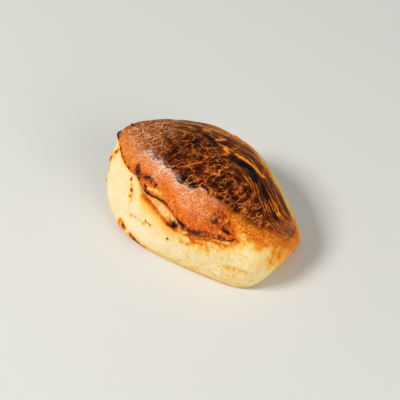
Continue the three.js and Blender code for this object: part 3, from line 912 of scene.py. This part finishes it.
class Socket:
    """A shader value that Python's operators work on: each expression adds its Math node."""

    def __init__(self, bench, output):
        self.bench = bench
        self.output = output

    def maths(self, operation, *others, clamp=False):
        settings = {"operation": operation, "use_clamp": clamp}
        return self.bench.node("ShaderNodeMath", settings, dict(enumerate((self,) + others)))

    def __add__(self, other):
        return self.maths("ADD", other)

    __radd__ = __add__

    def __sub__(self, other):
        return self.maths("SUBTRACT", other)

    def __rsub__(self, other):
        return self.bench.node("ShaderNodeMath", {"operation": "SUBTRACT"}, {0: other, 1: self})

    def __mul__(self, other):
        return self.maths("MULTIPLY", other)

    __rmul__ = __mul__

    def larger(self, other):
        return self.maths("MAXIMUM", other)

    def clamped(self):
        return self.maths("ADD", 0.0, clamp=True)

    def swing(self, amount):
        """Noise of 0 to 1 made to swing about 0, by an amount in all."""
        return (self - 0.5) * amount

    def step(self, low, high):
        """0 below low, 1 above high, smooth between; low may be the larger for a falling step."""
        return self.bench.node(
            "ShaderNodeMapRange", {"interpolation_type": "SMOOTHSTEP", "clamp": True},
            {"Value": self, "From Min": low, "From Max": high})


class Bench:
    """Makes the nodes of one material."""

    def __init__(self, name):
        self.material = bpy.data.materials.new(name)
        self.material.use_nodes = True
        self.tree = self.material.node_tree
        self.tree.nodes.clear()
        self.looks = {}

    def node(self, kind, settings=None, sockets=None, output=0):
        """One node: its type, its settings, then the values or links of its sockets."""
        made = self.tree.nodes.new(kind)
        for name, value in (settings or {}).items():
            if name == "stops":
                self.set_stops(made.color_ramp, value)
            else:
                setattr(made, name, value)
        for key, value in (sockets or {}).items():
            if isinstance(value, Socket):
                self.tree.links.new(value.output, made.inputs[key])
            else:
                made.inputs[key].default_value = value
        return Socket(self, made.outputs[output]) if made.outputs else None

    @staticmethod
    def set_stops(ramp, stops):
        """A ramp's stops: pairs of a place and a colour."""
        while len(ramp.elements) < len(stops):
            ramp.elements.new(1.0)
        for element, (place, colour) in zip(ramp.elements, stops):
            element.position = place
            element.color = colour

    def look(self, name):
        """A look that the mesh carries as an attribute of that name, read by one node."""
        if name not in self.looks:
            self.looks[name] = self.node(
                "ShaderNodeAttribute", {"attribute_name": name}, output="Fac")
        return self.looks[name]

    def pattern_place(self, name):
        """A vector that the mesh carries, in which a pattern is laid out."""
        return self.node("ShaderNodeAttribute", {"attribute_name": name}, output="Vector")

    def object_place(self):
        """The place on the object, in millimetres."""
        place = self.node("ShaderNodeTexCoord", output="Object")
        return self.node(
            "ShaderNodeVectorMath", {"operation": "MULTIPLY"}, {0: place, 1: (1 / MM,) * 3})

    def speckle(self, place, size, detail=2.0, roughness=0.5):
        """Noise from 0 to 1 with lumps of a size."""
        return self.node("ShaderNodeTexNoise", {"noise_dimensions": "3D"}, {
            "Vector": place, "Scale": 1 / size, "Detail": detail, "Roughness": roughness})

    def cell_edge(self, place, size):
        """The distance to the nearest border between random cells of a size."""
        return self.node(
            "ShaderNodeTexVoronoi", {"voronoi_dimensions": "3D", "feature": "DISTANCE_TO_EDGE"},
            {"Vector": place, "Scale": 1 / size}, output="Distance") * size

    def bands(self, place, period, waver):
        """Lines along the place's first axis, 0 to 1 across each, that waver by noise. At a scale
        of 1 the node repeats them every pi / 10."""
        return self.node("ShaderNodeTexWave", {"wave_type": "BANDS", "bands_direction": "Y"}, {
            "Vector": place, "Scale": math.pi / (10 * period), "Distortion": waver,
            "Detail": 2.0, "Detail Scale": 1.5}, output="Fac")

    def curled(self, place, size, amount):
        """A place pushed about by noise, so that lines laid out in it curl."""
        push = self.node("ShaderNodeTexNoise", {"noise_dimensions": "3D"}, {
            "Vector": place, "Scale": 1 / size, "Detail": 1.0}, output="Color")
        pushed = self.node(
            "ShaderNodeVectorMath", {"operation": "MULTIPLY"}, {0: push, 1: (amount,) * 3})
        return self.node("ShaderNodeVectorMath", {"operation": "ADD"}, {0: place, 1: pushed})

    def ramp(self, level, stops):
        """A colour for each level, blended between stops."""
        return self.node("ShaderNodeValToRGB", {"stops": stops}, {"Fac": level})

    def blend(self, factor, first, second):
        """The first colour where the factor is 0, the second where it is 1."""
        return self.node(
            "ShaderNodeMix", {"data_type": "RGBA"}, {0: factor, 6: first, 7: second}, output=2)

    def finished(self, sockets):
        """The material, once its surface has these values and links."""
        surface = self.node("ShaderNodeBsdfPrincipled", sockets=sockets)
        self.node("ShaderNodeOutputMaterial", sockets={"Surface": surface})
        return self.material


def srgb(red, green, blue):
    """A colour given as screen values from 0 to 255, turned into the linear values of a shader."""
    def linear(value):
        share = value / 255
        return share / 12.92 if share <= 0.04045 else ((share + 0.055) / 1.055) ** 2.4
    return (linear(red), linear(green), linear(blue), 1.0)


# How dough colours as it bakes, from raw to burnt
BAKING = [
    (0.00, srgb(233, 217, 185)),
    (0.12, srgb(232, 205, 148)),
    (0.25, srgb(231, 186, 92)),
    (0.37, srgb(230, 154, 50)),
    (0.50, srgb(216, 111, 22)),
    (0.60, srgb(198, 86, 12)),
    (0.72, srgb(148, 62, 20)),
    (0.86, srgb(88, 36, 14)),
    (1.00, srgb(34, 20, 14)),
]
# The ground of the glaze between its cracks
GLAZING = [
    (0.00, srgb(12, 9, 9)),
    (0.25, srgb(34, 11, 3)),
    (0.45, srgb(70, 24, 4)),
    (0.62, srgb(108, 40, 6)),
    (0.80, srgb(168, 70, 14)),
    (1.00, srgb(220, 112, 30)),
]
# The lines that the glaze cracked along, from faint to open
CRACKING = [
    (0.00, srgb(118, 46, 10)),
    (0.40, srgb(192, 92, 24)),
    (0.75, srgb(222, 134, 56)),
    (1.00, srgb(238, 184, 126)),
]
# Browned skin at the left, and strands along the back
TANNING = [
    (0.00, srgb(78, 36, 14)),
    (0.35, srgb(126, 62, 21)),
    (0.60, srgb(164, 90, 40)),
    (0.85, srgb(210, 148, 102)),
    (1.00, srgb(222, 172, 134)),
]
STRANDS = [
    (0.00, srgb(16, 12, 13)),
    (0.30, srgb(48, 22, 10)),
    (0.50, srgb(98, 44, 12)),
    (0.66, srgb(160, 78, 20)),
    (0.82, srgb(226, 112, 18)),
    (1.00, srgb(238, 146, 44)),
]
# The satin skin's brown between its fine wrinkles, and a painted sheen of pale pink specks on them
SATIN_SKIN_AND_SHEEN = [
    (0.38, srgb(176, 84, 34)),
    (0.48, srgb(204, 116, 60)),
    (0.57, srgb(222, 150, 100)),
    (0.68, srgb(240, 192, 152)),
]
OLIVE = srgb(206, 172, 84)
PEACH = srgb(236, 186, 146)
# A painted highlight: the pale glints on the glaze's bumpy edge
PAINTED_GLINT_COLOUR = srgb(204, 182, 170)
CHAR = srgb(24, 20, 18)

# The crust's patterns: the size in millimetres of their lumps or cells
PATCHES, MOTTLES, GRAINS, PORES = 4.5, 2.0, 0.9, 0.45
LEATHER_CELLS, CREASE_CELLS, PANEL_LUMPS = 1.5, 3.8, 3.2
PLATES, SMALL_PLATES, HAIR_PLATES = 5.4, 2.8, 1.5
# Where on its ramp each kind of glaze lies by itself, and how far the painted glints cover
#  what is under them
GROUND_LEVEL, STRAND_LEVEL, TAN_LEVEL = 0.31, 0.4, 0.44
PAINTED_GLINT_COVER = 0.85
BUMP_HEIGHT = 0.4 * MM


class CrustBench(Bench):
    """The bench of the crust, with the grains, plates and strands that its layers share. A step on
    an edge is in millimetres from it, and a step on a grain is in its level from 0 to 1."""

    def __init__(self):
        super().__init__("baked_crust")
        self.place = self.object_place()
        self.patchy = self.speckle(self.place, PATCHES, 3, 0.55)
        self.mottle = self.speckle(self.place, MOTTLES, 3, 0.6)
        self.grain = self.speckle(self.place, GRAINS, 3, 0.6)
        self.pores = self.speckle(self.place, PORES, 2, 0.6)
        self.leather = self.cell_edge(
            self.curled(self.place, 1.6, 1.4), LEATHER_CELLS).step(0.0, 0.4) - 0.5

        plates = self.curled(self.pattern_place("cells"), 2.4, 1.6)
        self.wide_edge = self.cell_edge(plates, PLATES)
        self.small_edge = self.cell_edge(plates, SMALL_PLATES)
        self.hair_edge = self.cell_edge(plates, HAIR_PLATES)
        self.broken = self.speckle(plates, 3.0)
        self.faint = self.speckle(plates, 4.0, 1).step(0.45, 0.6)
        self.cracks = (self.wide_edge.step(0.22, 0.05) * self.broken.step(0.36, 0.56)).larger(
            self.small_edge.step(0.18, 0.04) * (0.4 + 0.5 * self.look("small_cells"))
            * self.broken.step(0.38, 0.58)).larger(
            self.hair_edge.step(0.16, 0.03) * self.faint * 0.7)
        self.open_cracks = self.cracks * self.look("glaze").step(0.45, 0.95)

        self.strands = self.pattern_place("strands")
        self.weave = self.speckle(self.strands, 1.0, 3, 0.6)

    def dough_colour(self):
        """Dough and crust under the glaze: the baking ramp, made uneven by every grain, with
        creases and olive specks on the sides, peach crumb in the split, and the satin skin with its
        painted sheen."""
        crust, crumb, panel = self.look("crust"), self.look("crumb"), self.look("panel")
        level = self.look("toast") + self.patchy.swing(0.12 + 0.14 * crust)
        level = level + self.grain.swing(0.14 + 0.62 * crust)
        level = level + self.mottle.swing(0.16 + 0.1 * crust) + self.leather * crust * 0.1
        creased = self.cell_edge(self.curled(self.place, 3.5, 3.0), CREASE_CELLS).step(0.34, 0.04)
        level = level + creased * crumb * self.patchy.step(0.4, 0.6) * (0.04 + 0.05 * panel)
        level = level + panel * self.speckle(self.place, PANEL_LUMPS).swing(0.22)
        colour = self.ramp(level, BAKING)

        specks = panel * self.mottle.step(0.52, 0.62) * self.grain.step(0.42, 0.56)
        colour = self.blend(specks * 0.6, colour, OLIVE)
        peach = self.look("torn") * self.mottle.step(0.4, 0.6) * 0.42
        colour = self.blend(peach, colour, PEACH)
        # The satin skin: brown between its wrinkles, with a painted sheen of pale pink specks on
        # them
        wrinkles_and_sheen = self.ramp(
            self.grain * 0.8 + self.pores * 0.4 + self.patchy * 0.3 - self.leather * 0.14 - 0.25,
            SATIN_SKIN_AND_SHEEN)
        satin = self.look("satin") * (0.7 + (self.patchy - 0.45) * 1.3 + self.mottle.swing(1.2))
        return self.blend(satin.clamped(), colour, wrinkles_and_sheen)

    def plate_colour(self):
        """The glaze in plates: a dark ground, darker or brighter where it is marked so and aglow
        beside its borders, and over it the cracks."""
        dark, bright = self.look("dark"), self.look("bright")
        glow = self.wide_edge.step(1.5, 0.0) * 0.1
        glow = glow + self.small_edge.step(0.9, 0.0) * self.look("small_cells") * 0.08
        level = self.patchy.swing(0.8) + self.broken.swing(0.6) + self.pores.swing(0.6)
        ground = self.ramp(level + GROUND_LEVEL + glow - dark * 0.6 + bright * 0.6, GLAZING)
        crack = self.ramp(self.cracks * 0.6 + (self.grain - 0.42) * 1.1, CRACKING)
        return self.blend((self.open_cracks * (0.95 - dark * 0.6)).clamped(), ground, crack)

    def strand_colour(self):
        """The glaze in strands along the back: a weave, thin threads and broken lines."""
        thread = (self.speckle(self.strands, 1.3, 1) - 0.5).maths("ABSOLUTE").step(0.035, 0.006)
        lines = self.bands(self.strands, 1.1, 6.0).step(0.2, 0.8) - 0.5
        level = self.weave.swing(2.0) + STRAND_LEVEL - self.look("dark") * 0.6
        level = level + self.look("bright") * 0.8 + thread * 0.35
        level = level + lines * 0.4 * (self.patchy + self.broken).step(0.85, 1.15)
        return self.ramp(level, STRANDS)

    def tan_colour(self):
        """The skin that baked tan: fine strands, and the paler borders of the small plates."""
        fine_weave = self.speckle(self.strands, 0.45, 2, 0.6)
        level = fine_weave.swing(1.1) + self.weave.swing(0.9) + self.grain.swing(1.6) + TAN_LEVEL
        level = level - self.look("small_cells") * 0.26 + self.small_edge.step(0.26, 0.05) * 0.26
        level = level + self.hair_edge.step(0.22, 0.04) * 0.26 * self.faint
        return self.ramp(level, TANNING)


def crust_material():
    """Baked dough: its own colour, then the glaze in plates, strands and tan skin, the painted
    glints on the glaze's bumpy edge, and burnt spots. The crumb is matt and coarse, the glaze
    smoother and cracked."""
    bench = CrustBench()
    glaze, tan, frost = bench.look("glaze"), bench.look("tan"), bench.look("frost")
    crumb, grain, pores = bench.look("crumb"), bench.grain, bench.pores
    glazed = bench.blend(bench.look("rim"), bench.plate_colour(), bench.strand_colour())
    glazed = bench.blend(tan, glazed, bench.tan_colour())
    colour = bench.blend(glaze, bench.dough_colour(), glazed)
    # Painted glints: pale highlight specks on the glaze's bumpy edge
    painted_glint = frost * grain.step(0.42, 0.56) * pores.step(0.3, 0.6)
    colour = bench.blend((painted_glint * PAINTED_GLINT_COVER).clamped(), colour, PAINTED_GLINT_COLOUR)
    colour = bench.blend(bench.look("burnt"), colour, CHAR)

    roughness = 0.5 + 0.3 * crumb - 0.2 * glaze - 0.15 * frost + grain.swing(0.1)
    bumps = (pores * 0.25 + grain * 0.6) * (0.35 + 0.65 * crumb)
    bumps = bumps - bench.open_cracks * glaze * 0.6
    bump = bench.node("ShaderNodeBump", sockets={
        "Strength": 0.5, "Distance": BUMP_HEIGHT, "Height": bumps}, output="Normal")
    coat = tan * 0.12 + frost * bench.patchy.step(0.4, 0.6) * 0.35
    return bench.finished({
        "Base Color": colour,
        "Roughness": roughness.clamped(),
        "Specular IOR Level": 0.08,
        "Coat Weight": coat.clamped(),
        "Coat Roughness": 0.2,
        "Subsurface Weight": 0.1,
        "Subsurface Radius": (1.0, 0.45, 0.2),
        "Subsurface Scale": 0.0015,
        "Normal": bump,
    })


def floor_material():
    """A plain pale matt floor."""
    return Bench("pale_floor").finished({
        "Base Color": srgb(214, 213, 206), "Roughness": 0.6, "Specular IOR Level": 0.3})


# Half the width of the floor
FLOOR_HALF = 1.5


def make_floor():
    """A flat sheet under the bun's foot."""
    corners = [(-1, -1), (1, -1), (1, 1), (-1, 1)]
    mesh = bpy.data.meshes.new("floor")
    mesh.from_pydata([(x * FLOOR_HALF, y * FLOOR_HALF, 0) for x, y in corners], [], [(0, 1, 2, 3)])
    mesh.materials.append(floor_material())
    floor = bpy.data.objects.new("floor", mesh)
    bpy.context.scene.collection.objects.link(floor)


def aimed(thing, place, target):
    """Puts a lamp or camera at a place, looking at a target."""
    thing.location = place
    thing.rotation_euler = (Vector(target) - Vector(place)).to_track_quat("-Z", "Y").to_euler()
    bpy.context.scene.collection.objects.link(thing)


# The camera: where it looks, from which side and height, how far away, and its lens
CAMERA_TARGET = (-0.008925, 0.009656, 0.0)
CAMERA_AZIMUTH, CAMERA_ELEVATION = 28.1, 46.5
CAMERA_DISTANCE = 0.62
CAMERA_LENS, CAMERA_SENSOR = 99.88, 36


def make_camera():
    """The camera that sees the bun at the photograph's angle and size."""
    lens = bpy.data.cameras.new("camera")
    lens.lens = CAMERA_LENS
    lens.sensor_width = CAMERA_SENSOR
    azimuth, elevation = math.radians(CAMERA_AZIMUTH), math.radians(CAMERA_ELEVATION)
    towards = Vector((
        math.sin(azimuth) * math.cos(elevation),
        -math.cos(azimuth) * math.cos(elevation),
        math.sin(elevation)))
    target = Vector(CAMERA_TARGET)
    camera = bpy.data.objects.new("camera", lens)
    aimed(camera, target + CAMERA_DISTANCE * towards, target)
    bpy.context.scene.camera = camera


# Lamps: the plan angle and height in degrees that each shines from, its distance, width and power
# in watts. They point at the bun's middle, and a sky fills the shadows
LAMPS = {
    "window": (222, 46, 1.7, 0.55, 25.0),
    "front card": (340, 26, 1.7, 1.3, 17.0),
}
SKY = (0.88, 0.89, 0.88, 1.0)
SKY_STRENGTH = 0.30
LAMP_TARGET = (0, 0, 0.02)


def light_scene():
    """A large soft lamp from the left, a weak one from the front, and an even pale sky."""
    for name, (plan, climb, away, width, power) in LAMPS.items():
        lamp = bpy.data.lights.new(name, "AREA")
        lamp.size = width
        lamp.energy = power
        place = away * Vector(direction(plan, climb))
        aimed(bpy.data.objects.new(name, lamp), place, LAMP_TARGET)
    world = bpy.data.worlds.new("studio")
    world.use_nodes = True
    background = world.node_tree.nodes["Background"]
    background.inputs["Color"].default_value = SKY
    background.inputs["Strength"].default_value = SKY_STRENGTH
    bpy.context.scene.world = world
    bpy.context.scene.view_settings.view_transform = "Standard"


bun = make_bun()
bun.data.materials.append(crust_material())
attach(bun, "root")
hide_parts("bun")
make_floor()
make_camera()
light_scene()
